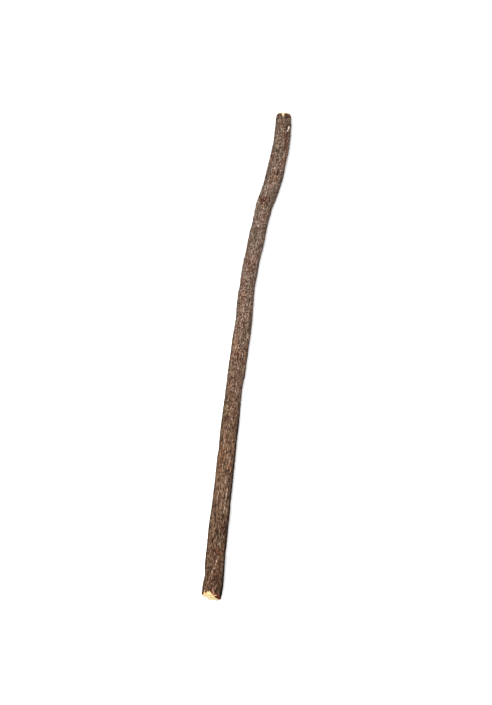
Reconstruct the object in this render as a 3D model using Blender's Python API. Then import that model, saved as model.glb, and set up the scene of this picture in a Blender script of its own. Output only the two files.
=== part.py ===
"""A miswak stick: one cut length of thin, bent root in its bark, lying on its side.

The stick runs along X, with its butt, the thicker cut end, at -X and its tip at +X. It bends in the
plane that it rests on, Z = 0. Angles round the stick start at its +Y side and turn over the top, so
90 degrees faces straight up and 270 degrees is the underside. Lengths are in metres.
"""

import math

import bmesh
import bpy
from mathutils import Vector, noise

MM = 0.001
UP = Vector((0, 0, 1))

# The stick as a whole
LENGTH = 180.0 * MM
BARK_THICKNESS = 0.5 * MM
REST_FLAT_DEPTH = 0.2 * MM  # how far the underside is pressed flat where the stick lies
SIDES = 44
RINGS = 100

# Sideways offset of the pith from the straight line between the two cut ends, in millimetres,
# at stations along that line: the stick is almost straight, with one sharper bend near the tip.
BEND = (
    (-90, -0.45), (-83, -0.4), (-74, 0.3), (-50, 1.25), (-27, 2.2), (-12, 2.75), (8, 2.9),
    (23, 3.5), (37, 3.2), (54, 1.95), (58, 1.15), (65, 0.1), (73, -0.5), (80, -0.75), (90, 0.05),
)

# Radius over the bark at such stations, in millimetres: the root thins towards its tip, swells at
# the bend, and flares a little at the butt.
RADIUS = (
    (-90, 3.5), (-86, 3.58), (-80, 3.3), (-72, 3.4), (-50, 3.25), (-28, 3.17), (-15, 2.9),
    (-4, 3.05), (8, 2.97), (20, 2.77), (32, 2.82), (43, 2.95), (51, 2.82), (63, 3.1), (75, 2.87),
    (86, 2.8), (90, 2.45),
)

# Swellings and scars of the bark: station and angle in millimetres and degrees, then how high it
# stands (a pit is negative), and its half length and half width along and round the stick.
KNOTS = (
    (84.5, 128, 0.22, 2.8, 1.7),
    (84.5, 128, -0.5, 1.5, 0.8),
    (67.0, 109, -0.25, 1.8, 0.8),
    (56.0, 15, 0.2, 2.6, 2.4),
    (56.5, 106, 0.22, 2.0, 1.5),
    (10.0, 99, -0.2, 2.0, 0.8),
    (3.5, 44, 0.18, 2.6, 0.8),
    (-73.5, 105, 0.25, 2.4, 2.2),
    (-75.5, 95, -0.3, 1.5, 2.0),
    (-79.0, 10, 0.2, 2.0, 1.8),
    (66.5, 215, 0.25, 2.4, 1.5),
    (21.0, 330, 0.22, 2.8, 1.6),
    (-6.0, 205, 0.22, 2.6, 1.5),
    (-38.0, 318, 0.28, 2.6, 1.8),
    (-38.0, 318, -0.45, 1.5, 0.8),
)

# The lengthwise folds that the bark shrank into as it dried, and the root's own oval
FOLD_HEIGHT = 0.5 * MM
FOLD_MIDDLE = 0.22  # the share of that height at which the bark's mean radius lies
FOLDS_ROUND = 2.2  # how finely the folds divide the girth
FOLD_LENGTH = 12.0 * MM
OVAL_SHARE = 0.02
OVAL_TURN_LENGTH = 150.0 * MM  # the oval turns once in this length

# The two knife cuts: each is turned towards +Y and lifted towards +Z from square across the stick
BUTT_TURN, BUTT_LIFT = math.radians(6), math.radians(3)
TIP_TURN, TIP_LIFT = math.radians(6), math.radians(17)

# Where the bark has chipped back from a cut: angle in degrees, depth and half width in millimetres
BARK_SET_BACK = 0.2 * MM
BUTT_CHIPS = ((42, 0.5, 0.6), (82, 1.2, 1.3), (116, 0.9, 0.8), (205, 0.5, 0.9), (300, 0.6, 0.8))
TIP_CHIPS = (
    (15, 1.2, 1.2), (77, 1.25, 1.0), (118, 1.2, 0.9), (158, 1.0, 0.9), (225, 0.6, 0.9),
    (320, 0.5, 0.8),
)

# Finishes, as linear colours
BARK_COLOUR = (0.155, 0.107, 0.076, 1.0)
WOOD_COLOUR = (0.87, 0.68, 0.36, 1.0)
BARK_ROUGHNESS = 0.85
WOOD_ROUGHNESS = 0.75


def clear_scene():
    for obj in list(bpy.data.objects):
        bpy.data.objects.remove(obj, do_unlink=True)


def make_material(name, colour, roughness):
    material = bpy.data.materials.new(name)
    material.use_nodes = True
    shader = material.node_tree.nodes["Principled BSDF"]
    shader.inputs["Base Color"].default_value = colour
    shader.inputs["Roughness"].default_value = roughness
    shader.inputs["Metallic"].default_value = 0.0
    material.diffuse_color = colour
    return material


def smooth_value(points, station):
    """The smooth line through points of station and value, both in millimetres, read at a station."""
    x = min(max(station / MM, points[0][0]), points[-1][0])
    first = max(i for i in range(len(points) - 1) if points[i][0] <= x)
    (x0, v0), (x1, v1) = points[first], points[first + 1]
    before, after = points[max(first - 1, 0)], points[min(first + 2, len(points) - 1)]
    span = x1 - x0
    slope0 = (v1 - before[1]) / (x1 - before[0]) * span
    slope1 = (after[1] - v0) / (after[0] - x0) * span
    t = (x - x0) / span
    value = (
        (2 * t**3 - 3 * t**2 + 1) * v0
        + (t**3 - 2 * t**2 + t) * slope0
        + (3 * t**2 - 2 * t**3) * v1
        + (t**3 - t**2) * slope1
    )
    return value * MM


def pith_at(station):
    """Centre of the stick at a station, low enough for the underside to be pressed flat."""
    height = smooth_value(RADIUS, station) - REST_FLAT_DEPTH
    return Vector((station, smooth_value(BEND, station), height))


def side_at(station):
    """Level direction across the stick there, towards +Y."""
    step = 1.0 * MM
    run = pith_at(station + step) - pith_at(station - step)
    return Vector((-run.y, run.x, 0)).normalized()


def radius_at(station, angle):
    """Radius over the bark, with the root's oval, the bark's folds and its knots. The folds are round
    ridges that meet in sharp furrows, where the noise that they follow passes through zero."""
    radius = smooth_value(RADIUS, station)
    oval = 1 + OVAL_SHARE * math.cos(2 * (angle + math.tau * station / OVAL_TURN_LENGTH))
    place = Vector((FOLDS_ROUND * math.cos(angle), FOLDS_ROUND * math.sin(angle), station / FOLD_LENGTH))
    relief = FOLD_HEIGHT * (abs(noise.noise(place)) - FOLD_MIDDLE)
    for knot_station, knot_angle, height, half_length, half_width in KNOTS:
        turn = math.remainder(angle - math.radians(knot_angle), math.tau)
        along = (station / MM - knot_station) / half_length
        around = turn * radius / MM / half_width
        relief += height * MM * math.exp(-along**2 - around**2)
    return radius * oval + relief


def chip_depth(chips, angle, radius):
    """How far back from the cut the bark's broken edge lies at this angle."""
    depth = BARK_SET_BACK
    for chip_angle, chip, half_width in chips:
        turn = math.remainder(angle - math.radians(chip_angle), math.tau)
        around = abs(turn) * radius / MM / half_width
        depth = max(depth, BARK_SET_BACK + chip * MM * (1 - around))
    return depth


def cut_point(end, angle, radius):
    """Point on the flat cut at an end of the stick, -1 for the butt and 1 for the tip."""
    turn, lift = (BUTT_TURN, BUTT_LIFT) if end < 0 else (TIP_TURN, TIP_LIFT)
    normal = Vector((end * math.cos(turn), math.sin(turn), math.tan(lift)))
    station = end * LENGTH / 2
    along = side_at(station).cross(UP)
    reach = round_point(station, angle, radius) - pith_at(station)
    return pith_at(station) + reach - along * reach.dot(normal) / along.dot(normal)


def round_point(station, angle, radius):
    """Point at this angle and distance from the pith, square across the stick."""
    return pith_at(station) + (side_at(station) * math.cos(angle) + UP * math.sin(angle)) * radius


def bark_edge(end, angle):
    """Station at which the bark breaks off short of the cut at an end of the stick."""
    chips = BUTT_CHIPS if end < 0 else TIP_CHIPS
    radius = radius_at(end * LENGTH / 2, angle)
    return cut_point(end, angle, radius).x - end * chip_depth(chips, angle, radius)


def ring_point(ring, angle):
    """Where a corner of the stick lies. At each end the first ring is the rim of the cut wood, the
    second is where that wood goes in under the bark, and the third is the bark's broken edge."""
    end = -1 if ring < RINGS / 2 else 1
    wood_radius = radius_at(end * LENGTH / 2, angle) - BARK_THICKNESS
    from_end = min(ring, RINGS - 1 - ring)
    if from_end == 0:
        return cut_point(end, angle, wood_radius)
    if from_end == 1:
        return round_point(bark_edge(end, angle), angle, wood_radius)
    first, last = bark_edge(-1, angle), bark_edge(1, angle)
    station = first + (last - first) * (ring - 2) / (RINGS - 5)
    return round_point(station, angle, radius_at(station, angle))


def ring_of(vert):
    """Which ring of the unwrapped cylinder, one unit apart and centred on zero, a corner is in."""
    return round(vert.co.z + (RINGS - 1) / 2)


def make_stick(bark, cut_wood):
    """A cylinder with a loop for each ring, wrapped on the bent, knotted form of the root."""
    bm = bmesh.new()
    bmesh.ops.create_cone(
        bm, cap_ends=True, segments=SIDES, radius1=1, radius2=1, depth=RINGS - 1
    )
    lengthwise = [edge for edge in bm.edges if ring_of(edge.verts[0]) != ring_of(edge.verts[1])]
    bmesh.ops.subdivide_edges(bm, edges=lengthwise, cuts=RINGS - 2)
    wood_rings = (0, 1, RINGS - 2, RINGS - 1)
    for face in bm.faces:
        is_wood = all(ring_of(vert) in wood_rings for vert in face.verts)
        face.material_index = 1 if is_wood else 0
        face.smooth = not is_wood
    for vert in bm.verts:
        vert.co = ring_point(ring_of(vert), math.atan2(vert.co.y, vert.co.x))
        vert.co.z = max(vert.co.z, 0)
    centre_on_origin(bm)
    mesh = bpy.data.meshes.new("stick")
    bm.to_mesh(mesh)
    bm.free()
    mesh.materials.append(bark)
    mesh.materials.append(cut_wood)
    return bpy.data.objects.new("stick", mesh)


def centre_on_origin(bm):
    """Moves the stick so that the middle of its outline lies over the origin."""
    for axis in (0, 1):
        places = [vert.co[axis] for vert in bm.verts]
        middle = (min(places) + max(places)) / 2
        for vert in bm.verts:
            vert.co[axis] -= middle


def main():
    clear_scene()
    bark = make_material("dry root bark", BARK_COLOUR, BARK_ROUGHNESS)
    cut_wood = make_material("cut root wood", WOOD_COLOUR, WOOD_ROUGHNESS)
    collection = bpy.data.collections.new("miswak stick")
    bpy.context.scene.collection.children.link(collection)
    collection.objects.link(make_stick(bark, cut_wood))


main()
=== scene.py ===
"""The look of a miswak stick: one cut length of thin, bent root in its wrinkled, scaling bark.

The stick lies along X, its butt, the thicker cut end, at -X and its tip at +X. Its form is worked out
in millimetres, at stations along the straight line between the two cut ends and at angles round it.
The angles start at the stick's +Y side and turn over the top, so that 90 degrees faces straight up.
Each point also knows where it would lie on the same stick straightened out. The mesh keeps that
place, in millimetres, as the attribute "straight", and the patterns of bark and wood follow it.
"""

import math

import bmesh
import bpy
import numpy as np
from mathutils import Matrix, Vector, noise


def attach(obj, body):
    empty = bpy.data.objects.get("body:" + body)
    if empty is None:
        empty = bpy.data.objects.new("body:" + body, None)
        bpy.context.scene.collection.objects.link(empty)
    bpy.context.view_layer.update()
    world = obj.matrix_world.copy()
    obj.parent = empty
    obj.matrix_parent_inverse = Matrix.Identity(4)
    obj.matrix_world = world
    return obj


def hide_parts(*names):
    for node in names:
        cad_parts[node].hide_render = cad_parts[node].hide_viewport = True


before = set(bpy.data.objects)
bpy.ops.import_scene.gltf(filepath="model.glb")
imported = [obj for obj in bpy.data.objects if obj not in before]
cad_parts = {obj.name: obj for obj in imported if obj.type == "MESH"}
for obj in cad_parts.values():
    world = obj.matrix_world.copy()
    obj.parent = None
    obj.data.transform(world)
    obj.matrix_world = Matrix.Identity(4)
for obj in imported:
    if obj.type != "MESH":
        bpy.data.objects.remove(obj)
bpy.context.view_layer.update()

MM = 0.001
UP = np.array((0.0, 0.0, 1.0))

# The stick as a whole, in millimetres as all the form is
LENGTH = 180.0
BARK_THICKNESS = 0.5
REST_FLAT_DEPTH = 0.2  # how far the underside is pressed flat where the stick lies
SIDES = 132
BARK_ROWS = 610
MEAN_RADIUS = 3.1

# Sideways offset of the pith from the straight line between the two cut ends, at stations along it
BEND = (
    (-90, -0.45), (-83, -0.4), (-74, 0.3), (-50, 1.25), (-27, 2.2), (-12, 2.75), (8, 2.9),
    (23, 3.5), (37, 3.2), (54, 1.95), (58, 1.15), (65, 0.1), (73, -0.5), (80, -0.75), (90, 0.05),
)

# Radius over the bark at such stations
RADIUS = (
    (-90, 3.5), (-86, 3.58), (-80, 3.3), (-72, 3.4), (-50, 3.25), (-28, 3.17), (-15, 2.9),
    (-4, 3.05), (8, 2.97), (20, 2.77), (32, 2.82), (43, 2.95), (51, 2.82), (63, 3.1), (75, 2.87),
    (86, 2.8), (90, 2.45),
)

# Swellings and scars: station, angle, how high it stands (a pit is negative), half length, half width
KNOTS = (
    (84.5, 128, 0.22, 2.8, 1.7),
    (84.5, 128, -0.5, 1.5, 0.8),
    (67.0, 109, -0.25, 1.8, 0.8),
    (56.0, 15, 0.2, 2.6, 2.4),
    (56.5, 106, 0.22, 2.0, 1.5),
    (10.0, 99, -0.2, 2.0, 0.8),
    (3.5, 44, 0.18, 2.6, 0.8),
    (-73.5, 105, 0.25, 2.4, 2.2),
    (-75.5, 95, -0.3, 1.5, 2.0),
    (-79.0, 10, 0.2, 2.0, 1.8),
    (66.5, 215, 0.25, 2.4, 1.5),
    (21.0, 330, 0.22, 2.8, 1.6),
    (-6.0, 205, 0.22, 2.6, 1.5),
    (-38.0, 318, 0.28, 2.6, 1.8),
    (-38.0, 318, -0.45, 1.5, 0.8),
)

# The lengthwise folds that the bark shrank into as it dried, and the root's own oval
FOLD_HEIGHT = 0.5
FOLD_MIDDLE = 0.22
FOLDS_ROUND = 2.2
FOLD_LENGTH = 12.0
OVAL_SHARE = 0.02
OVAL_TURN_LENGTH = 150.0

# The two knife cuts, turned towards +Y and lifted towards +Z from square across the stick
BUTT_TURN, BUTT_LIFT = math.radians(6), math.radians(3)
TIP_TURN, TIP_LIFT = math.radians(6), math.radians(17)

# Where the bark has chipped back from a cut: angle, depth and half width in the cork, and depth in the
# inner bark that is left on the wood, which reaches past the cut where it isn't chipped
BARK_SET_BACK = 0.2
BUTT_CHIPS = (
    (42, 0.5, 0.6, 0.55), (63, 0.9, 0.7, 0.0), (82, 1.2, 1.3, 0.65), (126, 0.9, 1.6, -1.1),
    (205, 0.5, 0.9, 0.2), (300, 0.6, 0.8, 0.4),
)
TIP_CHIPS = (
    (15, 1.2, 1.2, 0.0), (86, 1.15, 0.85, 1.35), (118, 1.2, 0.9, -0.4), (166, 1.5, 1.3, 0.0),
    (225, 0.6, 0.9, 0.3), (320, 0.5, 0.8, 0.0),
)
# How far the inner bark reaches over the cut's face where it isn't chipped, at angles round it
BUTT_REACH = ((0, 0.2), (102, 0.3), (120, 1.2), (145, 1.6), (172, 1.5), (215, 0.0), (345, 0.0), (360, 0.2))
TIP_REACH = ((0, 0.3), (90, 0.4), (160, 0.4), (200, 0.2), (360, 0.3))
# The corner of the tip's wood that broke off with its bark: angle, depth and half width at the rim, and
# where on the way out from the pith it starts
CORNER_ANGLE, CORNER_DEPTH, CORNER_HALF, CORNER_START = 164, 1.3, 1.3, 0.5
JAG = 0.2  # how deep the small teeth of the bark's broken edge are
JAGS_ROUND = 7.0
JAGS_PLACE = 5.0  # where in the noise they are read, on one side for each end
CUT_SHARES = (0.1, 0.2, 0.31, 0.42, 0.53, 0.64, 0.75, 0.85, 0.93, 1.0)  # rings of the cut's face
WOOD_SHARES = (0.2, 0.4, 0.6, 0.8, 1.0)  # rows from the cut's rim to where the wood goes under the bark
RIND_SHARES = (0.35, 0.7)  # rows across the bark's broken thickness
ZONES = ("bark", "rind", "wood")

# Single marks of each kind that the photograph shows on the bark, with a few spots of painted shade at
# the tip's rim among the pits and the rust: station, angle, half length and half width, and how far one
# leans round the stick for each millimetre of its length, if it does. The stations are those that the
# photograph seems to show. It looks from nearer the butt, so that a mark on top of the stick lies nearer
# the butt than it seems, by this length.
SEEN_SHIFT = 0.85
MARKS = {
    "pit": (
        # The first three, at the tip's rim, are painted shadow of the bark's broken edge. The rest are
        # real pits.
        (89.3, 42, 0.5, 0.5), (89.2, 107, 0.6, 0.5), (89.4, 125, 0.5, 0.6),
        (84.7, 132, 1.9, 0.7, 0.1), (68.0, 109, 1.1, 0.5), (57.4, 110, 0.9, 0.45, -0.3),
        (55.7, 102, 0.6, 0.5), (31.5, 98, 0.15, 1.6), (10.0, 99, 0.6, 0.3), (-3.6, 59, 0.7, 0.4),
        (-9.5, 67, 0.4, 0.35), (-60.4, 115, 0.5, 0.4), (-74.3, 91, 0.2, 1.1, 0.2),
        (-75.6, 94, 0.6, 0.5),
    ),
    "rust": (
        # The first, at the tip's rim, is painted shade where the bark's broken edge shades the cork.
        (88.9, 63, 0.8, 0.5), (79.8, 129, 3.2, 0.9), (57.0, 75, 1.6, 1.2), (-64.4, 117, 1.3, 0.45),
        (-73.4, 96, 0.9, 1.5),
    ),
    "bare": (
        (85.0, 138, 0.62, 0.3, 0.08), (83.8, 129, 0.28, 0.16, 0.3),
    ),
    "pale": (
        (80.5, 56, 0.6, 0.3), (73.0, 109, 0.7, 0.25, 0.2), (73.5, 128, 0.6, 0.25),
        (70.8, 100, 0.6, 0.25), (68.3, 98, 0.6, 0.25), (55.8, 85, 0.7, 0.3),
        (53.5, 87, 1.6, 0.22, 0.5), (32.5, 40, 0.7, 0.35), (15.6, 65, 0.6, 0.3, 0.2),
        (15.8, 88, 0.5, 0.3), (16.1, 111, 0.5, 0.3), (11.7, 74, 0.7, 0.3), (11.8, 46, 0.7, 0.3),
        (-1.8, 78, 0.8, 0.25), (-6.0, 160, 1.2, 0.25), (-8.5, 67, 0.6, 0.25, 0.4),
        (-12.2, 38, 0.8, 0.3), (-12.0, 165, 1.4, 0.25), (-33.8, 66, 1.6, 0.25, 0.1),
        (-48.8, 95, 0.9, 0.3, 0.3), (-51.5, 119, 1.5, 0.27, 0.15), (-54.5, 115, 1.9, 0.27, -0.1),
        (-57.8, 116, 1.6, 0.27, 0.12), (-60.3, 43, 0.9, 0.3), (-70.3, 105, 0.9, 0.3),
        (-76.3, 101, 1.7, 0.3, 0.22), (-78.2, 71, 0.5, 0.3), (-79.4, 87, 0.5, 0.35),
        (-82.0, 69, 1.5, 0.25, 0.2),
    ),
    "tan": (
        (65.6, 107, 0.6, 0.3), (64.6, 106, 0.5, 0.3), (3.4, 44, 1.7, 0.32), (-29.1, 40, 0.9, 0.3),
        (-35.2, 113, 0.5, 0.3), (-37.3, 48, 0.9, 0.35), (-41.9, 110, 1.4, 0.25, 0.2),
        (-43.0, 130, 1.0, 0.3), (-46.2, 33, 1.3, 0.25), (-67.4, 32, 1.0, 0.25),
    ),
    "nub": (
        (62.0, 5, 0.5, 0.6), (55.0, 5, 0.45, 0.6), (52.0, 5, 0.45, 0.6), (52.1, 178, 0.6, 0.6),
        (50.4, 3, 0.45, 0.6), (45.3, 6, 0.45, 0.6), (45.7, 178, 0.6, 0.6),
    ),
}
HIDDEN_MARKS = 56  # more such marks on the flanks and the underside, which no one sees in the photograph
HIDDEN_SEED = 11
HIDDEN_KINDS = ("pale", "pale", "tan", "rust", "pit", "nub")
# Between which values these are drawn: station, angle, half length, half width and lean
HIDDEN_BOUNDS = ((-84, 84), (175, 375), (0.5, 1.8), (0.22, 0.7), (-0.3, 0.3))

# A mark is full up to its rim less its fade and gone at its rim, as shares of its half length and half
# width, and the rim wanders by its raggedness, with so many teeth in a millimetre
MARK_RIM = 1.25
MARK_FADE = 0.5
MARK_RAGGEDNESS = 0.45
MARK_TEETH = 2.2
MARK_SEARCH = 2  # half lengths from its middle past which a mark isn't looked for
MARK_HEIGHTS = {"rust": 0.0, "pale": 0.03, "tan": 0.03, "pit": -0.15, "bare": 0.03, "nub": 0.12}

# How much the bark has broken into loose cork scales, at stations along the stick, and how much longer
# its pattern is there than at the tip
SCALY = ((-90, 0.35), (-40, 0.35), (0, 0.7), (45, 0.95), (90, 1.0))
PATTERN_LENGTH = ((-90, 2.1), (-50, 2.0), (-10, 1.4), (30, 1.0), (90, 1.0))
PATTERN_START = -12.57  # where the pattern starts, which picks the stretch of it that the stick wears
PATTERN_STEPS = 720
# How thickly loose scales are strewn on the bark there
STREWN = ((-88.6, 0), (-87.8, 0.5), (-40, 0.45), (0, 0.7), (40, 1), (87.8, 1), (88.6, 0))

# Painted shade on the stick's shaded flank, away from the key lamp: how dark it is at angles round it and
# at stations, and how many degrees further round that flank begins at stations
FLANK_SHADE_ROUND = (
    (0, 0), (50, 0), (90, 0.15), (120, 0.2), (148, 0.25), (166, 1.0), (176, 0.95), (205, 0.4),
    (250, 0.15), (340, 0), (360, 0),
)
FLANK_SHADE_ALONG = ((-90, 1.0), (-35, 0.95), (10, 0.6), (60, 0.5), (90, 0.2))
FLANK_SHADE_TURN = ((-90, -5), (-35, -3), (10, 10), (90, 12))

# The relief of the dried bark and the torn wood, in millimetres. Waves, grit, swells and fibres have
# their spacing across the stick, across it again and along it. Ridges, creases and scales lie on the
# bark rolled out flat, with their spacing round the stick, along it and through the bark.
WRINKLES = {
    "wave size": (3.5, 3.5, 5.0), "wave width": 0.8,
    "ridge size": (0.55, 3.6, 1.0), "ridge height": 0.07,
    "crease size": (0.34, 0.8, 1.0), "crease height": 0.05,
    "scale size": (0.8, 1.3, 1.0), "scale height": 0.09,
    "grit size": (0.32, 0.32, 0.45), "grit height": 0.15,
    "swell size": (2.6, 2.6, 2.6), "swell height": 0.01,
    "fibre size": (0.25, 0.25, 1.3), "fibre height": 0.2,
}
GROUND = -0.03  # where the relief starts from, so that its crests stand close to the stick's own size
LOWEST, HIGHEST = -0.13, 0.04  # heights of the relief that count as its deepest furrows and its crests
UNDERSIDE = (-1.2, -2.2)  # heights over the pith between which the underside's own pattern takes over
SHARP_ANGLE = math.radians(60)

# Ridges and scales stand this high before they are multiplied by their own heights
MIDDLE = 0.5  # the middle of a noise, which runs from 0 to 1
FURROW = 0.08  # how far from a noise's middle a furrow reaches
FURROW_BOTTOM, RIDGE_CREST = -0.7, 0.3
RIDGES_WHOLE, RIDGES_LOST = 2.0, -1.6  # their share on whole bark, and what scaly bark takes from it
SCALE_EDGE = 0.2  # how far from a crack a scale reaches its full height, as a share of its size
CRACK_BOTTOM, SCALE_FACE = -0.9, 0.1
SCALE_STEP = 0.2  # how much higher than the lowest scales the highest stand
SCALE_RANDOMNESS = 0.9

# Small pieces strewn over one zone of the stick, in metres and radians as the scene is
CORK_SCALES = {
    "zone": 0, "spacing": 1.05 * MM, "seed": 4,
    "least turn": (0.0, -0.2, -0.3), "most turn": (0.05, 0.2, 0.3),
    "least size": (0.5, 0.4, 0.6), "most size": (1.3, 1.2, 1.3),
}
TORN_FIBRES = {
    "zone": 2, "spacing": 0.27 * MM, "seed": 7,
    "least turn": (-0.35, -3.0, -0.35), "most turn": (0.35, 3.0, 0.35),
    "least size": (0.6, 0.3, 0.6), "most size": (1.4, 1.1, 1.4),
}
RIND_FIBRES = {
    "zone": 1, "spacing": 0.3 * MM, "seed": 9,
    "least turn": (-0.3, -3.0, -0.3), "most turn": (0.2, 3.0, 0.3),
    "least size": (0.7, 0.3, 0.7), "most size": (1.3, 0.8, 1.3),
}
MOST_STREWN = 1e8  # more in a square metre than the spacing ever lets in

# Width, length and thickness of a cork scale and of a fibre, which narrows to a share of its width
CORK_SCALE = (0.38, 1.1, 0.09)
FIBRE = (0.12, 0.5, 0.12)
FIBRE_TIP = 0.12

# Torn strips: finish, half width where it is held, and its points as station, angle and height over
# the bark's face
STRIPS = (
    ("peel", 0.3, (-89.9, 105, -0.2), (-89.3, 102, 0.08), (-88.6, 96, 0.12), (-87.8, 89, 0.0)),
    ("wood", 0.2, (-90.6, 97, -0.5), (-90.4, 105, -0.2), (-90.1, 113, 0.0), (-89.8, 121, 0.1)),
    ("wood", 0.34, (-90.0, 74, -0.6), (-89.3, 74, -0.35), (-88.5, 74, -0.2)),
    ("wood", 0.22, (-89.9, 43, -0.4), (-89.2, 44, -0.1), (-88.4, 45, 0.05)),
    ("peel", 0.2, (88.2, 172, -0.1), (88.9, 173, 0.05), (89.6, 174, 0.15)),
)
STRIP_THICKNESS = 0.28  # a share of its width
STRIP_END = 0.3  # width at the loose end, as a share of that where it is held
STRIP_POINTS = 12
STRIP_SIDES = 8

# The map that the colours are baked on: the bark in bands, and a round patch for each end, in
# millimetres of bark
BAKE_MAP = "OFBake"
BANDS = 3
BAND_ROWS = (BARK_ROWS - 1) // BANDS
BAND = math.tau * MEAN_RADIUS + 0.4
PATCH = 10.0
PATCH_STEP = 0.28  # distance from one row of an end to the next

# Colour of the bark's crests from butt to tip, as shares of the length
BARK_ALONG = ((0.0, "#7B6552"), (0.3, "#967C67"), (0.5, "#9C8778"), (0.75, "#A08F84"), (1.0, "#9A887B"))
# Rusty and olive tints of its patches, and the unevenness at which each sets in and is full
CORK_TINTS = (("#F6E2D4", 0.5, 0.66), ("#EAEEE4", 0.48, 0.34))
# What lies over the cork: painted shade on its shaded flank, stains that its ridges show through, and
# marks that cover these too
PAINTED_SHADE = {"earthy": "#241812"}
STAINS = {"rust": "#6E4A37", "pale": "#A29082", "tan": "#9E775A"}
BARED = {"pit": "#362017", "bare": "#FFF0E6"}
BLEACHED = "#9E8C82"
INNER_BARK = ((0.2, "#321309"), (0.4, "#5D2610"), (0.58, "#362010"), (0.8, "#755329"))
INNER_TURN = 0.25  # how far through these colours it turns from butt to tip

# Size of the spots in each finish's pattern, across the stick, across it again and along it, in
# millimetres. Cork's own streaks and grit and the fibres of bark and wood are about 0.1 mm wide. That is
# too fine to show in the render, where a pixel is 0.36 mm, so the streaks and the fibres are drawn about
# as wide as a pixel.
CORK_PATCHES = (2.0, 2.0, 7.0)
CORK_STREAKS = (0.34, 0.34, 0.55)
CORK_GRIT = (0.12, 0.12, 0.4)
INNER_FIBRES = (0.3, 0.3, 1.2)
WOOD_FIBRES = (0.22, 0.22, 1.0)
RAGGED_EDGE = (0.25, 0.25, 0.6)  # of the inner bark that is left on the wood
WOOD_RAYS = (0.11, 0.11, 1.0)  # on a circle of radius 1 round the pith
# Such sizes in metres, across Object coordinates
PEELED_FIBRES = (1.2 * MM, 0.12 * MM, 0.12 * MM)
CARD_PULP = (30 * MM, 30 * MM, 30 * MM)
GRIT_HEIGHT = 0.05 * MM

# Long names of the nodes used most, and the settings of those that mix colours
MATH = "ShaderNodeMath"
VECTOR_MATH = "ShaderNodeVectorMath"
MAP_RANGE = "ShaderNodeMapRange"
SEPARATE = "ShaderNodeSeparateXYZ"
COMBINE = "ShaderNodeCombineXYZ"
NOISE = "ShaderNodeTexNoise"
VORONOI = "ShaderNodeTexVoronoi"
MIX = "ShaderNodeMix"
RAMP = "ShaderNodeValToRGB"
PAINTED_VALUE = "ShaderNodeAttribute"
POINT_VALUE = "GeometryNodeInputNamedAttribute"
STORE = "GeometryNodeStoreNamedAttribute"
OBJECT_SHAPE = "GeometryNodeObjectInfo"
REALIZE = "GeometryNodeRealizeInstances"
SET_MATERIAL = "GeometryNodeSetMaterial"
ALIGN = "FunctionNodeAlignRotationToVector"
COMPARE = "FunctionNodeCompare"
RANDOM = "FunctionNodeRandomValue"
PAINTED = {"data_type": "RGBA"}
DARKENED = {"data_type": "RGBA", "blend_type": "MULTIPLY"}
SOCKETS = {
    float: "NodeSocketFloat",
    int: "NodeSocketInt",
    tuple: "NodeSocketVector",
    bpy.types.Object: "NodeSocketObject",
    bpy.types.Material: "NodeSocketMaterial",
}

# The camera, at the photograph's viewing angle: bearing and height seen from the stick, where it aims
# and how far off it stands
VIEW_BEARING, VIEW_HEIGHT = math.radians(-81.6), math.radians(75.0)
AIM = Vector((0.19, -0.73, 3.0)) * MM
DISTANCE = 4176 * MM
LENS = 600.0
SENSOR = 36.0

# Soft square lamps: bearing from +X and height in degrees as the stick sees them, side in metres, and
# power in watts. The low one keeps the flank at -Y from going black.
LAMP_DISTANCE = 0.9
LAMPS = {
    "key": (98.0, 74.0, 0.6, 9.4),
    "fill": (176.0, 35.0, 0.6, 7.5),
    "low": (-75.0, 10.0, 0.6, 3.4),
}
FLOOR_SIDE = 4.0
FLOOR_GAP = 0.02 * MM  # how far it lies below the stick
SKY, SKY_SEEN = 0.75, 0.93  # how bright the sky lights the stick, and how bright it looks itself
SKY_LOW, SKY_HIGH = 0.1, 0.5  # heights of a direction between which the sky's light sets in


def smooth_line(points, stations):
    """The smooth line through points of station and value, read at many stations."""
    known = np.array(points, float)
    x, value = known[:, 0], known[:, 1]
    slope = np.empty_like(value)
    slope[1:-1] = (value[2:] - value[:-2]) / (x[2:] - x[:-2])
    slope[0] = (value[1] - value[0]) / (x[1] - x[0])
    slope[-1] = (value[-1] - value[-2]) / (x[-1] - x[-2])
    at = np.clip(stations, x[0], x[-1])
    i = np.clip(np.searchsorted(x, at, side="right") - 1, 0, len(x) - 2)
    span = x[i + 1] - x[i]
    t = (at - x[i]) / span
    return (
        (2 * t**3 - 3 * t**2 + 1) * value[i]
        + (t**3 - 2 * t**2 + t) * slope[i] * span
        + (3 * t**2 - 2 * t**3) * value[i + 1]
        + (t**3 - t**2) * slope[i + 1] * span
    )


def straight_line(points, stations):
    """The straight lines from point to point of station and value, read at many stations."""
    return np.interp(stations, *np.transpose(points))


def noise_at(places):
    """Smooth noise from -1 to 1 at many places."""
    found = [noise.noise(place) for place in places.reshape(-1, 3).tolist()]
    return np.array(found).reshape(places.shape[:-1])


def noise_round(angles, fineness, along):
    """Such noise round the stick, the finer the more it has of this, which changes along the stick."""
    return noise_at(np.stack([fineness * np.cos(angles), fineness * np.sin(angles), along], -1))


def turn_from(angles, angle):
    """How far round from one angle, given in degrees, other angles lie."""
    return (angles - math.radians(angle) + math.pi) % math.tau - math.pi


def closeness(angles, radii, angle, half_width):
    """1 at one angle, given in degrees, and less on both sides of it, down to 0 at this half width."""
    return 1 - np.abs(turn_from(angles, angle)) * radii / half_width


def pith_at(stations):
    """Places of the pith, low enough for the underside to be pressed flat."""
    heights = smooth_line(RADIUS, stations) - REST_FLAT_DEPTH
    return np.stack([stations, smooth_line(BEND, stations), heights], -1)


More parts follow.
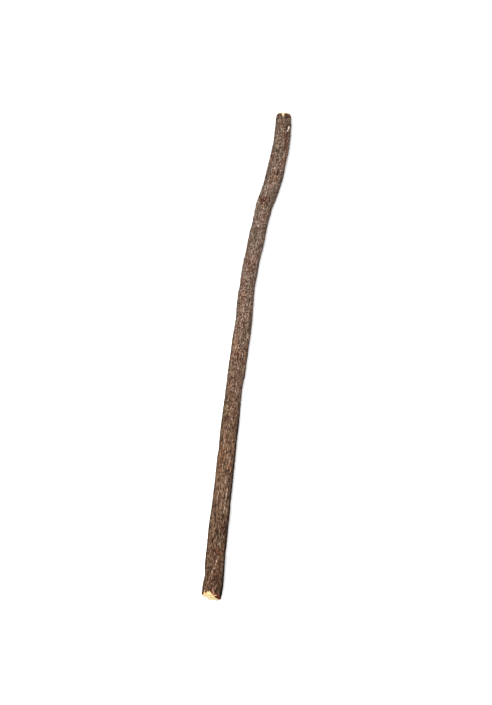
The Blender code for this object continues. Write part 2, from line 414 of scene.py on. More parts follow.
def side_at(stations):
    """Level direction across the stick there, towards +Y."""
    step = 1.0
    run = pith_at(stations + step) - pith_at(stations - step)
    side = np.stack([-run[..., 1], run[..., 0], np.zeros_like(stations)], -1)
    return side / np.linalg.norm(side, axis=-1, keepdims=True)


def round_points(stations, angles, radii):
    """Points at these angles and distances from the pith, square across the stick."""
    across = side_at(stations) * np.cos(angles)[..., None] + UP * np.sin(angles)[..., None]
    return pith_at(stations) + across * radii[..., None]


def radius_at(stations, angles):
    """Radius over the bark, with the root's oval, the bark's folds and its knots."""
    radius = smooth_line(RADIUS, stations)
    oval = 1 + OVAL_SHARE * np.cos(2 * (angles + math.tau * stations / OVAL_TURN_LENGTH))
    folds = np.abs(noise_round(angles, FOLDS_ROUND, stations / FOLD_LENGTH))
    relief = FOLD_HEIGHT * (folds - FOLD_MIDDLE)
    for station, angle, height, half_length, half_width in KNOTS:
        along = (stations - station) / half_length
        around = turn_from(angles, angle) * radius / half_width
        relief += height * np.exp(-(along**2) - around**2)
    return radius * oval + relief


def cut_points(end, angles, radii):
    """Points on the flat cut at an end of the stick, -1 for the butt and 1 for the tip."""
    turn, lift = (BUTT_TURN, BUTT_LIFT) if end < 0 else (TIP_TURN, TIP_LIFT)
    normal = np.array((end * math.cos(turn), math.sin(turn), math.tan(lift)))
    stations = np.full(angles.shape, end * LENGTH / 2)
    along = np.cross(side_at(stations), UP)
    reach = round_points(stations, angles, radii) - pith_at(stations)
    slide = (reach @ normal) / (along @ normal)
    return pith_at(stations) + reach - along * slide[..., None]


def chip_depths(end, angles, radii):
    """How far back from a cut its chips reach at these angles, in the cork and in the inner bark."""
    chips, reach = (BUTT_CHIPS, BUTT_REACH) if end < 0 else (TIP_CHIPS, TIP_REACH)
    reach = straight_line(reach, np.degrees(angles) % 360)
    cork, inner = np.zeros_like(angles), -reach
    for angle, cork_depth, half_width, inner_depth in chips:
        share = closeness(angles, radii, angle, half_width)
        cork = np.maximum(cork, cork_depth * share)
        inner = np.maximum(inner, (inner_depth + reach) * share - reach)
    return cork, inner


def wood_points(end, angles, radii, share):
    """Points of the cut at this share of the way out to its rim. At the tip, one corner of the wood is
    broken off."""
    points = cut_points(end, angles, radii * share)
    if end > 0:
        near = np.clip(closeness(angles, radii, CORNER_ANGLE, CORNER_HALF), 0, 1)
        points[:, 0] -= CORNER_DEPTH * near * max(share - CORNER_START, 0) / (1 - CORNER_START)
    return points


def bark_edge(end, angles, radii):
    """Stations at which the bark breaks off, in small teeth, short of the cut at an end."""
    depth = BARK_SET_BACK + chip_depths(end, angles, radii)[0]
    teeth = noise_round(angles, JAGS_ROUND, np.full(angles.shape, JAGS_PLACE * end))
    return cut_points(end, angles, radii)[..., 0] - end * (depth + JAG * np.abs(teeth))


def end_rows(end, angles):
    """Rows of points from near the middle of a cut out to the bark, each row's zone, the stations of
    the bark's edge, and how deep under each point of the rows inner bark is left on the wood."""
    bark_radii = radius_at(np.full(angles.shape, end * LENGTH / 2), angles)
    wood_radii = bark_radii - BARK_THICKNESS
    edges = bark_edge(end, angles, bark_radii)
    rim = wood_points(end, angles, wood_radii, 1)
    inner = round_points(edges, angles, wood_radii)
    outer = round_points(edges, angles, radius_at(edges, angles))
    rows = [wood_points(end, angles, wood_radii, share) for share in CUT_SHARES]
    bared = chip_depths(end, angles, bark_radii)[1]
    covers = [-bared - wood_radii * (1 - share) for share in CUT_SHARES]
    for share in WOOD_SHARES:
        rows.append(rim + (inner - rim) * share)
        covers.append(np.abs(rim - inner)[:, 0] * share - bared)
    zones = ["wood"] * len(rows) + ["rind"] * len(RIND_SHARES)
    rows += [inner + (outer - inner) * share for share in RIND_SHARES]
    covers += [covers[-1]] * len(RIND_SHARES)
    return rows, zones, edges, covers


def stick_rows():
    """All rows of points round the stick from butt to tip, each row's zone, the two poles, and how far
    inner bark covers the wood at each end's points."""
    angles = np.arange(SIDES) * math.tau / SIDES
    butt, butt_zones, first, butt_covers = end_rows(-1, angles)
    tip, tip_zones, last, tip_covers = end_rows(1, angles)
    shares = np.linspace(0, 1, BARK_ROWS)[:, None]
    stations = first + (last - first) * shares
    all_angles = np.broadcast_to(angles, stations.shape)
    bark = round_points(stations, all_angles, radius_at(stations, all_angles))
    rows = np.concatenate([np.array(butt), bark, np.array(tip[::-1])])
    zones = butt_zones + ["bark"] * BARK_ROWS + tip_zones[::-1]
    covers = np.concatenate([np.array(butt_covers), np.ones_like(stations), np.array(tip_covers[::-1])])
    poles = [cut_points(end, np.zeros(1), np.zeros(1)) for end in (-1, 1)]
    return rows, zones, poles, covers


def straightened(points):
    """Where each point would lie on the same stick straightened out, and the way along its grain out of
    the nearer end."""
    stations = points[:, 0]
    from_pith = points - pith_at(stations)
    side = side_at(stations)
    straight = np.stack([(from_pith * side).sum(-1), from_pith[:, 2], stations], -1)
    grain = np.cross(side, UP) * np.sign(stations)[:, None]
    return straight, grain


def in_pattern(straight):
    """Places in the bark's pattern, whose ridges and scales are long at the butt and short at the tip."""
    stations = np.linspace(-LENGTH, LENGTH, PATTERN_STEPS + 1)
    steps = np.diff(stations) / smooth_line(PATTERN_LENGTH, stations[1:])
    along = PATTERN_START + np.concatenate([[0], np.cumsum(steps)])
    return np.concatenate([straight[:, :2], np.interp(straight[:, 2:], stations, along)], -1)


def hidden_marks():
    """Marks like those in the photograph for the flanks and the underside."""
    draw = np.random.default_rng(HIDDEN_SEED)
    marks = []
    for _ in range(HIDDEN_MARKS):
        values = [draw.uniform(*bounds) for bounds in HIDDEN_BOUNDS]
        marks.append((HIDDEN_KINDS[draw.integers(len(HIDDEN_KINDS))], *values))
    return marks


def mark_strengths(straight):
    """For each kind of mark, how strongly each point wears it, from 0 to 1, with ragged outlines."""
    stations = straight[:, 2]
    angles = np.arctan2(straight[:, 1], straight[:, 0])
    ragged = MARK_RAGGEDNESS * noise_at(straight * MARK_TEETH)
    strengths = {kind: np.zeros(len(straight)) for kind in MARK_HEIGHTS}
    seen = [(kind, *mark) for kind, marks in MARKS.items() for mark in marks]
    for kind, seen_station, angle, half_length, half_width, *lean in seen + hidden_marks():
        station = seen_station - SEEN_SHIFT * math.sin(math.radians(angle))
        near = np.abs(stations - station) < MARK_SEARCH * half_length
        along = stations[near] - station
        around = turn_from(angles[near], angle) * MEAN_RADIUS - sum(lean) * along
        reach = np.hypot(along / half_length, around / half_width) + ragged[near]
        found = np.clip((MARK_RIM - reach) / MARK_FADE, 0, 1)
        strengths[kind][near] = np.maximum(strengths[kind][near], found)
    return strengths


def keep(mesh, name, kind, values, domain="POINT"):
    """Keeps a number or a vector for each point or face of the mesh, as an attribute."""
    attribute = mesh.attributes.new(name, kind, domain)
    field = "vector" if kind == "FLOAT_VECTOR" else "value"
    numbers = np.asarray(values, np.int32 if kind == "INT" else np.float32)
    attribute.data.foreach_set(field, numbers.ravel())


def by_face(grid):
    """The entries of a grid of each face's four corners, in the faces' order. In the first and last
    rows, which close on the poles, a face has three corners."""
    middle = grid[1:-1]
    return grid[0][:, 1:], middle.reshape(-1, *middle.shape[2:]), grid[-1][:, :3]


def stick_mesh():
    """The stick's closed skin, with what its patterns need and the map that its colours are baked on,
    and the middle of its outline, which goes over the frame's origin."""
    rows, zones, poles, covers = stick_rows()
    points = np.concatenate([poles[0], rows.reshape(-1, 3), poles[1]])
    middle = (points.min(0) + points.max(0)) / 2 * (1, 1, 0)
    row, column = np.meshgrid(np.arange(-1, len(rows)), np.arange(SIDES), indexing="ij")
    corner_rows = np.stack([row, row, row + 1, row + 1], -1)
    corner_columns = np.stack([column, column + 1, column + 1, column], -1)
    corners = np.clip(1 + corner_rows * SIDES + corner_columns % SIDES, 0, len(points) - 1)
    faces = [face for part in by_face(corners) for face in part.tolist()]
    mesh = bpy.data.meshes.new("stick skin")
    mesh.from_pydata((points - middle) * MM, [], faces)
    mesh.polygons.foreach_set("use_smooth", np.ones(len(faces), bool))

    pairs = zip(["wood", *zones], [*zones, "wood"])
    face_zones = [ZONES.index("rind" if "rind" in pair else pair[0]) for pair in pairs]
    straight, grain = straightened(points)
    stations = straight[:, 2]
    on_bark = np.array([0, *np.repeat([zone == "bark" for zone in zones], SIDES), 0])
    turns = np.degrees(np.arctan2(straight[:, 1], straight[:, 0])) - straight_line(FLANK_SHADE_TURN, stations)
    values = {
        "bark": on_bark,
        "inner_bark": [-1, *covers.ravel(), -1],
        "scaly": smooth_line(SCALY, stations),
        "strewn": np.where(on_bark, straight_line(STREWN, stations), 1),
        # painted shade, darkest on the flank that faces away from the key lamp
        "earthy": straight_line(FLANK_SHADE_ROUND, turns % 360) * straight_line(FLANK_SHADE_ALONG, stations),
        **mark_strengths(straight),
    }
    keep(mesh, "zone", "INT", np.repeat(face_zones, SIDES), "FACE")
    for name, numbers in values.items():
        keep(mesh, name, "FLOAT", numbers)
    for name, places in (("straight", straight), ("pattern", in_pattern(straight)), ("grain", grain)):
        keep(mesh, name, "FLOAT_VECTOR", places)
    lay_map(mesh, corner_rows, corner_columns, zones.index("bark"))
    return mesh, middle


def lay_map(mesh, corner_rows, corner_columns, first_bark):
    """The map for baking: the bark unrolled in bands, one above the other, and over them each end of
    the stick as a round patch."""
    last = corner_rows.max()
    from_end = np.minimum(corner_rows + 1, last - corner_rows)
    turn = corner_columns / SIDES * math.tau
    patch_middle = np.where(corner_rows < last / 2, 1, 3) * PATCH / 2
    patch_u = patch_middle + from_end * PATCH_STEP * np.cos(turn)
    patch_v = BANDS * BAND + PATCH / 2 + from_end * PATCH_STEP * np.sin(turn)
    bark_row = corner_rows - first_bark
    band = bark_row[..., :1] // BAND_ROWS
    on_band = (band >= 0) & (band < BANDS)
    u = np.where(on_band, (bark_row / BAND_ROWS - band) * LENGTH / BANDS, patch_u)
    v = np.where(on_band, turn * MEAN_RADIUS + band * BAND, patch_v)
    places = np.stack([u, v], -1) / (BANDS * BAND + PATCH)
    flat = np.concatenate([part.ravel() for part in by_face(places)])
    mesh.uv_layers.new(name=BAKE_MAP).uv.foreach_set("vector", flat.astype(np.float32))


def colour(code):
    """Linear colour of an sRGB hex code such as #A08060."""
    parts = [int(code[i : i + 2], 16) / 255 for i in (1, 3, 5)]
    linear = [c / 12.92 if c <= 0.04045 else ((c + 0.055) / 1.055) ** 2.4 for c in parts]
    return (*linear, 1.0)


def add(tree, kind, inputs=(), stops=(), **settings):
    """Adds a node with its settings, and to a colour ramp its stops of place and hex colour. The inputs
    go by name, or are a list in the node's own order. Each is a value, the socket that feeds it, or the
    node whose first output does."""
    node = tree.nodes.new(kind)
    for setting, value in settings.items():
        setattr(node, setting, value)
    for key, value in inputs.items() if isinstance(inputs, dict) else enumerate(inputs):
        shown = [socket for socket in node.inputs if socket.enabled]
        if isinstance(key, str):
            key = [socket.name for socket in shown].index(key)
        if isinstance(value, bpy.types.Node):
            value = next(output for output in value.outputs if output.enabled)
        if isinstance(value, bpy.types.NodeSocket):
            tree.links.new(value, shown[key])
        else:
            shown[key].default_value = value
    for number, (place, code) in enumerate(stops):
        elements = node.color_ramp.elements
        element = elements[number] if number < len(elements) else elements.new(1.0)
        element.position = place
        element.color = colour(code)
    return node


def uneven(tree, place, size, detail=1.0):
    """Smooth unevenness from 0 to 1 whose spots have this size across, across and along."""
    scaled = add(tree, VECTOR_MATH, [place, size], operation="DIVIDE")
    return add(tree, NOISE, {"Vector": scaled, "Scale": 1.0, "Detail": detail})


def swollen(tree, place, size, detail=1.0):
    """The same unevenness as swellings over zero and hollows under it."""
    return add(tree, MATH, [uneven(tree, place, size, detail), MIDDLE], operation="SUBTRACT")


def furrowed(tree, place, size):
    """Round ridges that meet in sharp furrows."""
    near = add(tree, MATH, [uneven(tree, place, size), MIDDLE], operation="PINGPONG")
    reach = {"From Min": MIDDLE, "From Max": MIDDLE - FURROW}
    heights = {"To Min": FURROW_BOTTOM, "To Max": RIDGE_CREST}
    return add(tree, MAP_RANGE, {"Value": near, **reach, **heights}, interpolation_type="SMOOTHSTEP")


def rolled_out(tree, place, facing):
    """The bark rolled out flat from the stick's top, facing 1, or from its underside, facing -1: where
    each point then lies round the stick and along it."""
    turned = add(tree, VECTOR_MATH, [place, (1, facing, 1)], operation="MULTIPLY")
    parts = add(tree, SEPARATE, [turned]).outputs
    turn = add(tree, MATH, [parts["X"], parts["Y"]], operation="ARCTAN2")
    around = add(tree, MATH, [turn, MEAN_RADIUS], operation="MULTIPLY")
    return add(tree, COMBINE, [around, parts["Z"]])


def plated(tree, place, size):
    """Scales parted by cracks: how high each point stands, and each scale's own random number."""
    scaled = add(tree, VECTOR_MATH, [place, size], operation="DIVIDE")
    spread = {"Vector": scaled, "Scale": 1.0, "Randomness": SCALE_RANDOMNESS}
    cracks = add(tree, VORONOI, spread, voronoi_dimensions="2D", feature="DISTANCE_TO_EDGE")
    heights = {"From Max": SCALE_EDGE, "To Min": CRACK_BOTTOM, "To Max": SCALE_FACE}
    flat = add(tree, MAP_RANGE, {"Value": cracks, **heights}, interpolation_type="SMOOTHSTEP")
    cells = add(tree, VORONOI, spread, voronoi_dimensions="2D").outputs["Color"]
    own = add(tree, SEPARATE, [cells]).outputs["X"]
    return add(tree, MATH, [own, SCALE_STEP, flat], operation="MULTIPLY_ADD"), own


def summed(tree, start, parts):
    """A start value with parts added, each given as its own value, its share and its height."""
    for part, share, height in parts:
        part = add(tree, MATH, [part, share], operation="MULTIPLY")
        start = add(tree, MATH, [part, height, start], operation="MULTIPLY_ADD")
    return start


def new_tree(name, sizes):
    """A geometry tree with an input of its own for each named size, and the sockets that give them."""
    tree = bpy.data.node_groups.new(name, "GeometryNodeTree")
    for in_out in ("OUTPUT", "INPUT"):
        tree.interface.new_socket("Geometry", in_out=in_out, socket_type="NodeSocketGeometry")
    for size, value in sizes.items():
        tree.interface.new_socket(size, in_out="INPUT", socket_type=SOCKETS[type(value)])
    return tree, add(tree, "NodeGroupInput").outputs


def keep_above_floor(tree, shape):
    """Presses flat whatever would reach below the surface that the stick lies on."""
    parts = add(tree, SEPARATE, [add(tree, "GeometryNodeInputPosition")]).outputs
    height = add(tree, MATH, [parts["Z"], 0.0], operation="MAXIMUM")
    place = add(tree, COMBINE, [parts["X"], parts["Y"], height])
    return add(tree, "GeometryNodeSetPosition", {"Geometry": shape, "Position": place})


def wrinkle_tree(sizes):
    """The relief of bark that has dried on its root, and the torn fibres of the cut wood. It keeps how
    high each point of the bark stands as the attribute "crest", and each scale's own number as "tone"."""
    tree, given = new_tree("wrinkled bark", sizes)
    place = add(tree, POINT_VALUE, ["straight"], data_type="FLOAT_VECTOR")
    pattern = add(tree, POINT_VALUE, ["pattern"], data_type="FLOAT_VECTOR")
    scaly = add(tree, POINT_VALUE, ["scaly"])
    ridged = add(tree, MATH, [scaly, RIDGES_LOST, RIDGES_WHOLE], operation="MULTIPLY_ADD")
    waves = uneven(tree, place, given["wave size"]).outputs["Color"]
    reliefs, tones = [], []
    for facing in (1, -1):
        flat = rolled_out(tree, pattern, facing)
        waved = add(tree, VECTOR_MATH, [waves, given["wave width"], flat], operation="MULTIPLY_ADD")
        scales, tone = plated(tree, waved, given["scale size"])
        parts = (
            (furrowed(tree, waved, given["ridge size"]), ridged, given["ridge height"]),
            (furrowed(tree, waved, given["crease size"]), 1.0, given["crease height"]),
            (scales, scaly, given["scale height"]),
        )
        reliefs.append(summed(tree, GROUND, parts))
        tones.append(tone)
    over_pith = add(tree, SEPARATE, [place]).outputs["Y"]
    below = add(tree, MAP_RANGE, [over_pith, *UNDERSIDE])
    tone = add(tree, MIX, [below, *tones])
    parts = [
        (swollen(tree, place, given[f"{name} size"]), 1.0, given[f"{name} height"])
        for name in ("swell", "grit")
    ]
    parts += [(add(tree, POINT_VALUE, [kind]), 1.0, height) for kind, height in MARK_HEIGHTS.items()]
    relief = summed(tree, add(tree, MIX, [below, *reliefs]), parts)
    crest = add(tree, MAP_RANGE, [relief, LOWEST, HIGHEST])

    fibres = swollen(tree, place, given["fibre size"], 2.0)
    fibres = add(tree, MATH, [fibres, given["fibre height"]], operation="MULTIPLY")
    lift = add(tree, MIX, [add(tree, POINT_VALUE, ["bark"]), fibres, relief])
    lift = add(tree, MATH, [lift, MM], operation="MULTIPLY")
    outwards = add(tree, "GeometryNodeInputNormal")
    offset = add(tree, VECTOR_MATH, [outwards, lift], operation="SCALE")
    shape = add(tree, "GeometryNodeSetPosition", {"Geometry": given["Geometry"], "Offset": offset})
    for name, value in (("crest", crest), ("tone", tone)):
        shape = add(tree, STORE, {"Geometry": shape, "Name": name, "Value": value})
    shape = add(tree, REALIZE, [keep_above_floor(tree, shape)])
    zone = add(tree, POINT_VALUE, ["zone"], data_type="INT")
    for number, name in enumerate(ZONES):
        here = add(tree, COMPARE, [zone, number], data_type="INT", operation="EQUAL")
        shape = add(tree, SET_MATERIAL, [shape, here, given[name]])
    add(tree, "NodeGroupOutput", [shape])
    return tree


def scatter_tree(sizes):
    """Small pieces strewn over one zone of the stick's skin, each pointing out along the grain."""
    tree, given = new_tree("strewn pieces", sizes)
    skin = add(tree, OBJECT_SHAPE, [given["stick"]]).outputs["Geometry"]
    zone = add(tree, POINT_VALUE, ["zone"], data_type="INT")
    here = add(tree, COMPARE, [zone, given["zone"]], data_type="INT", operation="EQUAL")
    spread = {
        "Distance Min": given["spacing"], "Density Max": MOST_STREWN, "Seed": given["seed"],
        "Density Factor": add(tree, POINT_VALUE, ["strewn"]),
    }
    spots = add(
        tree, "GeometryNodeDistributePointsOnFaces", {"Mesh": skin, "Selection": here, **spread},
        distribute_method="POISSON",
    )
    grain = add(tree, POINT_VALUE, ["grain"], data_type="FLOAT_VECTOR")
    turn = add(tree, ALIGN, {"Vector": grain}, axis="Y")
    upright = {"Rotation": turn, "Vector": spots.outputs["Normal"]}
    turn = add(tree, ALIGN, upright, axis="Z", pivot_axis="Y")
    own = {}
    for name in ("turn", "size"):
        bounds = {"Min": given[f"least {name}"], "Max": given[f"most {name}"], "Seed": given["seed"]}
        own[name] = add(tree, RANDOM, bounds, data_type="FLOAT_VECTOR")
    own_turn = add(tree, "FunctionNodeEulerToRotation", [own["turn"]])
    turn = add(tree, "FunctionNodeRotateRotation", [turn, own_turn], rotation_space="LOCAL")
    piece = add(tree, OBJECT_SHAPE, [given["piece"]]).outputs["Geometry"]
    held = {"Points": spots, "Instance": piece, "Rotation": turn, "Scale": own["size"]}
    strewn = add(tree, "GeometryNodeInstanceOnPoints", held)
    shade = add(tree, RANDOM, {"Seed": given["seed"]})
    strewn = add(tree, STORE, {"Geometry": strewn, "Name": "shade", "Value": shade}, domain="INSTANCE")
    strewn = keep_above_floor(tree, add(tree, REALIZE, [strewn]))
    strewn = add(tree, SET_MATERIAL, {"Geometry": strewn, "Material": given["finish"]})
    add(tree, "NodeGroupOutput", [strewn])
    return tree


def strip_tree(sizes):
    """Torn strips along curves, as wide as the curve says where they are held and thin at the end."""
    tree, given = new_tree("torn strips", sizes)
    paths = add(tree, OBJECT_SHAPE, [given["paths"]]).outputs["Geometry"]
    paths = add(tree, "GeometryNodeResampleCurve", {"Curve": paths, "Count": STRIP_POINTS})
    paths = add(tree, "GeometryNodeSetCurveNormal", {"Curve": paths}, mode="Z_UP")
    edge = add(tree, "GeometryNodeCurvePrimitiveCircle", {"Resolution": STRIP_SIDES, "Radius": 1.0})
    flat = add(tree, COMBINE, [1.0, given["thickness"], 1.0])
    edge = add(tree, "GeometryNodeTransform", {"Geometry": edge, "Scale": flat})
    along = add(tree, "GeometryNodeSplineParameter")
    taper = add(tree, MAP_RANGE, {"Value": along, "To Min": 1.0, "To Max": STRIP_END})
    width = add(tree, MATH, [add(tree, "GeometryNodeInputRadius"), taper], operation="MULTIPLY")
    shape = {"Curve": paths, "Profile Curve": edge, "Scale": width, "Fill Caps": True}
    strips = add(tree, REALIZE, [add(tree, "GeometryNodeCurveToMesh", shape)])
    place = add(tree, "GeometryNodeInputPosition")
    place = add(tree, VECTOR_MATH, [place, 1 / MM], operation="SCALE")
    straight = {"Geometry": strips, "Name": "straight", "Value": place}
    strips = add(tree, STORE, straight, data_type="FLOAT_VECTOR")
    strips = add(tree, STORE, {"Geometry": strips, "Name": "inner_bark", "Value": -1.0})
    strips = add(tree, SET_MATERIAL, {"Geometry": strips, "Material": given["finish"]})
    add(tree, "NodeGroupOutput", [strips])
    return tree


def linked(name, data):
    """An object for this mesh, curve, lamp or camera, in the scene."""
    made = bpy.data.objects.new(name, data)
    bpy.context.scene.collection.objects.link(made)
    return made


def grow(name, tree, sizes, mesh=None):
    """A piece of the stick with the plain mesh that the tree makes with these sizes, of a mesh or of
    nothing."""
    piece = linked(name, mesh or bpy.data.meshes.new(name))
    modifier = piece.modifiers.new(tree.name, "NODES")
    modifier.node_group = tree
    for item in tree.interface.items_tree:
        if item.name in sizes:
            modifier[item.identifier] = sizes[item.name]
    graph = bpy.context.evaluated_depsgraph_get()
    grown = bpy.data.meshes.new_from_object(
        piece.evaluated_get(graph), preserve_all_data_layers=True, depsgraph=graph
    )
    piece.modifiers.remove(modifier)
    piece.data = grown
    grown.name = name
    grown.set_sharp_from_angle(angle=SHARP_ANGLE)
    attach(piece, "root")
    return piece


def small_piece(name, size, make, **shape):
    """A helper object, one small piece of this width, length and thickness that lies along +Y from the
    origin. What makes it stands upright, from -1 to 1."""
    width, length, thickness = size
    bm = bmesh.new()
    make(bm, **shape)
    for vert in bm.verts:
        x, y, z = vert.co
        vert.co = Vector((x * width / 2, (z + 1) * length / 2, -y * thickness / 2)) * MM
    mesh = bpy.data.meshes.new(name)
    bm.to_mesh(mesh)
    bm.free()
    mesh.shade_smooth()
    return linked(name, mesh)


def strip_paths(finish, middle):
    """A helper object with the curves of the strips that have one finish."""
    curves = bpy.data.curves.new(f"{finish} strips", "CURVE")
    curves.dimensions = "3D"
    for strip_finish, half_width, *points in STRIPS:
        if strip_finish != finish:
            continue
        stations, angles, heights = np.array(points, float).T
        angles = np.radians(angles)
        places = round_points(stations, angles, radius_at(stations, angles) + heights) - middle
        spline = curves.splines.new("NURBS")
        spline.points.add(len(points) - 1)
        spline.use_endpoint_u = True
        for point, place in zip(spline.points, places * MM):
            point.co = (*place, 1.0)
            point.radius = half_width * MM
    return linked(curves.name, curves)


def new_material(name):
    """A material with nothing in its tree, and that tree."""
    material = bpy.data.materials.new(name)
    material.use_nodes = True
    material.node_tree.nodes.clear()
    return material, material.node_tree


def end_material(tree, inputs):
    """Ends a material in its Principled shader with these inputs."""
    shader = add(tree, "ShaderNodeBsdfPrincipled", inputs)
    add(tree, "ShaderNodeOutputMaterial", {"Surface": shader})


def shaded(tree, paint, shades):
    """A colour darkened by several shades in turn, each given as a value and as the stops of a ramp."""
    for value, stops in shades:
        shade = add(tree, RAMP, [value], stops=stops)
        paint = add(tree, MIX, [1.0, paint, shade], **DARKENED)
    return paint


def coated(tree, paint, coats):
    """A colour under coats of others, each as thick at a point as its attribute says."""
    for name, code in coats.items():
        share = add(tree, PAINTED_VALUE, attribute_name=name).outputs["Fac"]
        paint = add(tree, MIX, [share, paint, colour(code)], **PAINTED)
    return paint


def cork_colour(tree):
    """Cork's own colour: taupe towards the tip and browner towards the butt, in patches that turn rusty
    or olive grey."""
    place = add(tree, PAINTED_VALUE, attribute_name="straight").outputs["Vector"]
    along = add(tree, SEPARATE, [place]).outputs["Z"]
    along = add(tree, MAP_RANGE, [along, -LENGTH / 2, LENGTH / 2])
    paint = add(tree, RAMP, [along], stops=BARK_ALONG)
    pattern = add(tree, PAINTED_VALUE, attribute_name="pattern").outputs["Vector"]
    patches = uneven(tree, pattern, CORK_PATCHES, 2.0)
    for code, start, end in CORK_TINTS:
        share = add(tree, MAP_RANGE, [patches, start, end])
        paint = add(tree, MIX, [share, paint, colour(code)], **DARKENED)
    return paint


def dry_bark():
    """Root bark, grown, lifted and dried in the air. Its cork has shrunk into ridges that are rubbed
    pale, and its furrows are darkened with painted shade by how low they lie. It is dull all over."""
    material, tree = new_material("dry root bark")
    place = add(tree, PAINTED_VALUE, attribute_name="straight").outputs["Vector"]
    pattern = add(tree, PAINTED_VALUE, attribute_name="pattern").outputs["Vector"]
    crest = add(tree, PAINTED_VALUE, attribute_name="crest").outputs["Fac"]
    tone = add(tree, PAINTED_VALUE, attribute_name="tone").outputs["Fac"]
    streaks = uneven(tree, pattern, CORK_STREAKS)
    # The crest ramp is painted shade: the lower a point of the relief lies, the darker its colour.
    shades = (
        (crest, ((0.0, "#776861"), (0.35, "#ABA098"), (0.65, "#E0DAD5"), (0.85, "#FFFFFF"))),
        (tone, ((0.0, "#DED6D0"), (0.5, "#F0ECE9"), (0.9, "#FFFFFF"))),
        (streaks, ((0.4, "#766B64"), (0.5, "#D0C8C2"), (0.58, "#FFFFFF"))),
    )
    # the cork under painted shade on its shaded flank, and under its stains
    paint = coated(tree, cork_colour(tree), {**PAINTED_SHADE, **STAINS})
    paint = coated(tree, shaded(tree, paint, shades), BARED)
    dull = add(tree, MAP_RANGE, {"Value": crest, "To Min": 0.95, "To Max": 0.8})
    grit = uneven(tree, place, CORK_GRIT, 2.0)
    bumps = add(tree, "ShaderNodeBump", {"Height": grit, "Distance": GRIT_HEIGHT, "Strength": 0.8})
    end_material(
        tree, {"Base Color": paint, "Roughness": dull, "Specular IOR Level": 0.12, "Normal": bumps}
    )
    return material


def loose_cork():
    """A scale of cork that has lifted at one end and weathered pale or brown on its own."""
    material, tree = new_material("loose cork scale")
    shade = add(tree, PAINTED_VALUE, attribute_name="shade").outputs["Fac"]
    weathered = ((0.0, "#94867C"), (0.5, "#C0B6AE"), (0.9, "#FFFFFF"))
    paint = shaded(tree, cork_colour(tree), [(shade, weathered)])
    bleached = add(tree, MAP_RANGE, {"Value": shade, "From Min": 0.8, "To Max": 0.4})
    paint = add(tree, MIX, [bleached, paint, colour(BLEACHED)], **PAINTED)
    # painted shade on the shaded flank, as on the bark
    paint = coated(tree, paint, PAINTED_SHADE)
    end_material(tree, {"Base Color": paint, "Roughness": 0.88, "Specular IOR Level": 0.12})
    return material


def inner_bark_colour(tree):
    """The inner bark's own colour in lengthwise fibres, dark red at the butt and brown at the tip."""
    place = add(tree, PAINTED_VALUE, attribute_name="straight").outputs["Vector"]
    along = add(tree, SEPARATE, [place]).outputs["Z"]
    fibres = uneven(tree, place, INNER_FIBRES, 2.0)
    shade = add(tree, MATH, [along, INNER_TURN / LENGTH, fibres], operation="MULTIPLY_ADD")
    return add(tree, RAMP, [shade], stops=INNER_BARK)


def broken_bark():
    """The reddish inner bark where the knife and the drying broke it, in dull lengthwise fibres."""
    material, tree = new_material("broken inner bark")
    paint = inner_bark_colour(tree)
    end_material(tree, {"Base Color": paint, "Roughness": 0.85, "Specular IOR Level": 0.3})
    return material


def peeled_bark():
    """A shred of bark that has curled off and shows its paler, pinkish inner side, finely fibrous."""
    material, tree = new_material("peeled bark")
    place = add(tree, "ShaderNodeTexCoord").outputs["Object"]
    fibres = uneven(tree, place, PEELED_FIBRES, 2.0)
    paint = add(tree, RAMP, [fibres], stops=((0.3, "#704636"), (0.6, "#99705C")))
    end_material(tree, {"Base Color": paint, "Roughness": 0.85, "Specular IOR Level": 0.3})
    return material


def cut_wood():
    """The root's pale fibrous wood, cut across with a knife and dried, with rays from a darker pith."""
    material, tree = new_material("cut root wood")
    place = add(tree, PAINTED_VALUE, attribute_name="straight").outputs["Vector"]
    across = add(tree, VECTOR_MATH, [place, (1, 1, 0)], operation="MULTIPLY")
    rays = uneven(tree, add(tree, VECTOR_MATH, [across], operation="NORMALIZE"), WOOD_RAYS)
    paint = add(tree, RAMP, [rays], stops=((0.3, "#D7C18D"), (0.5, "#E3D3AD"), (0.8, "#E6DBBD")))
    from_pith = add(tree, VECTOR_MATH, [across], operation="LENGTH").outputs["Value"]
    share = add(tree, MATH, [from_pith, MEAN_RADIUS], operation="DIVIDE")
    rings = ((0.0, "#E6CC94"), (0.12, "#F8EBC8"), (0.3, "#FFFFFF"), (0.8, "#FFFFFF"), (0.95, "#F3E0C8"))
    fibres = uneven(tree, place, WOOD_FIBRES, 2.0)
    shades = ((share, rings), (fibres, ((0.32, "#E8D4A4"), (0.48, "#FFFFFF"))))
    paint = shaded(tree, paint, shades)
    cover = add(tree, PAINTED_VALUE, attribute_name="inner_bark").outputs["Fac"]
    cover = add(tree, MATH, [cover, uneven(tree, place, RAGGED_EDGE)], operation="ADD")
    cover = add(tree, MAP_RANGE, [cover, 0.5, 0.62])
    paint = add(tree, MIX, [cover, paint, inner_bark_colour(tree)], **PAINTED)
    end_material(tree, {"Base Color": paint, "Roughness": 0.75, "Specular IOR Level": 0.3})
    return material


def pale_floor():
    """Matt white card, with the faintest unevenness of its pulp."""
    material, tree = new_material("matt white card")
    place = add(tree, "ShaderNodeTexCoord").outputs["Object"]
    pulp = uneven(tree, place, CARD_PULP, 3.0)
    paint = add(tree, RAMP, [pulp], stops=((0.3, "#F6F5F4"), (0.7, "#FAFAFA")))
    end_material(tree, {"Base Color": paint, "Roughness": 0.9, "Specular IOR Level": 0.2})
    return material


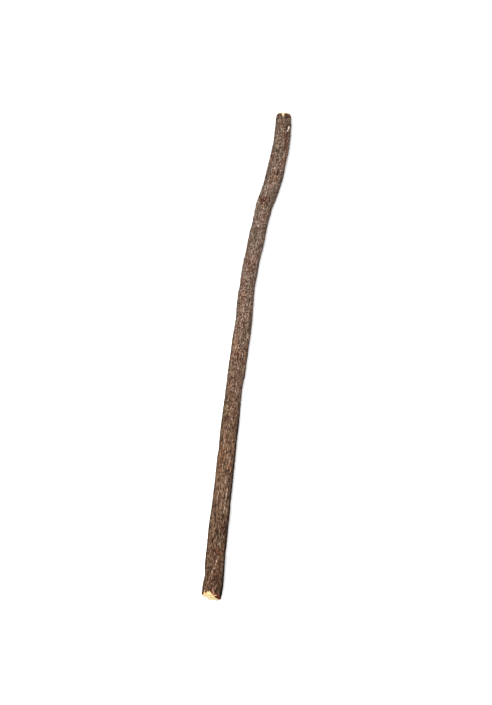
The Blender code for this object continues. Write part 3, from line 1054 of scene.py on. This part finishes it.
def add_floor():
    bm = bmesh.new()
    bmesh.ops.create_grid(bm, x_segments=1, y_segments=1, size=FLOOR_SIDE / 2)
    mesh = bpy.data.meshes.new("floor")
    bm.to_mesh(mesh)
    bm.free()
    mesh.materials.append(pale_floor())
    floor = linked("floor", mesh)
    floor.location.z = -FLOOR_GAP
    floor.visible_diffuse = False  # a white floor's glow would wash out the stick's shaded flank
    floor.visible_glossy = False


def direction(bearing, height):
    """The way to something that stands at this bearing from +X and this height over the floor."""
    level = math.cos(height)
    return Vector((math.cos(bearing) * level, math.sin(bearing) * level, math.sin(height)))


def add_lamps():
    for name, (bearing, height, side, power) in LAMPS.items():
        lamp = bpy.data.lights.new(name, "AREA")
        lamp.size = side
        lamp.energy = power
        towards = direction(math.radians(bearing), math.radians(height))
        holder = linked(name, lamp)
        holder.location = towards * LAMP_DISTANCE
        holder.rotation_euler = towards.to_track_quat("Z", "Y").to_euler()


def add_camera():
    """The camera looks down from a bearing that is counted from -Y."""
    towards = direction(VIEW_BEARING - math.pi / 2, VIEW_HEIGHT)
    camera = bpy.data.cameras.new("camera")
    camera.lens = LENS
    camera.sensor_width = SENSOR
    camera.clip_end = 100.0
    holder = linked("camera", camera)
    holder.location = AIM + towards * DISTANCE
    holder.rotation_euler = towards.to_track_quat("Z", "Y").to_euler()
    bpy.context.scene.camera = holder


def add_sky():
    """Surroundings that look pale behind the stick, but light it dimly and from above only."""
    sky = bpy.data.worlds.new("pale studio")
    sky.use_nodes = True
    tree = sky.node_tree
    tree.nodes.clear()
    way = add(tree, "ShaderNodeTexCoord").outputs["Generated"]
    height = add(tree, SEPARATE, [way]).outputs["Z"]
    light = add(tree, MAP_RANGE, [height, SKY_LOW, SKY_HIGH, 0.0, SKY])
    seen = add(tree, "ShaderNodeLightPath").outputs["Is Camera Ray"]
    strength = add(tree, MAP_RANGE, {"Value": seen, "To Min": light, "To Max": SKY_SEEN})
    white = add(tree, "ShaderNodeBackground", {"Color": colour("#FFFFFF"), "Strength": strength})
    add(tree, "ShaderNodeOutputWorld", {"Surface": white})
    bpy.context.scene.world = sky


def make_stick():
    """The stick in its bark, and the loose scales, torn fibres and torn strips that it holds."""
    finishes = {"bark": dry_bark(), "rind": broken_bark(), "wood": cut_wood()}
    skin, middle = stick_mesh()
    sizes = {**WRINKLES, **finishes}
    stick = grow("stick_in_bark", wrinkle_tree(sizes), sizes, skin)
    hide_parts("stick")

    cork_scale = small_piece(
        "cork scale", CORK_SCALE, bmesh.ops.create_uvsphere, u_segments=6, v_segments=5, radius=1.0
    )
    fibre = small_piece(
        "fibre", FIBRE, bmesh.ops.create_cone,
        cap_ends=True, segments=5, radius1=1.0, radius2=FIBRE_TIP, depth=2.0,
    )
    strewn = (
        ("cork_scales", CORK_SCALES, cork_scale, loose_cork(), "bark"),
        ("torn_wood_fibres", TORN_FIBRES, fibre, finishes["wood"], "cut_wood"),
        ("torn_bark_fibres", RIND_FIBRES, fibre, finishes["rind"], "bark"),
    )
    tree = None
    for name, strewing, piece, finish, slot in strewn:
        sizes = {**strewing, "stick": stick, "piece": piece, "finish": finish}
        tree = tree or scatter_tree(sizes)
        grow(name, tree, sizes)

    tree = None
    helpers = [cork_scale, fibre]
    finishes["peel"] = peeled_bark()
    for name, finish, slot in (("bark_shreds", "peel", "bark"), ("wood_slivers", "wood", "cut_wood")):
        paths = strip_paths(finish, middle)
        sizes = {"paths": paths, "thickness": STRIP_THICKNESS, "finish": finishes[finish]}
        tree = tree or strip_tree(sizes)
        grow(name, tree, sizes)
        helpers.append(paths)
    for helper in helpers:
        bpy.data.objects.remove(helper)


def main():
    make_stick()
    add_floor()
    add_lamps()
    add_camera()
    add_sky()
    bpy.context.scene.view_settings.view_transform = "Standard"


main()
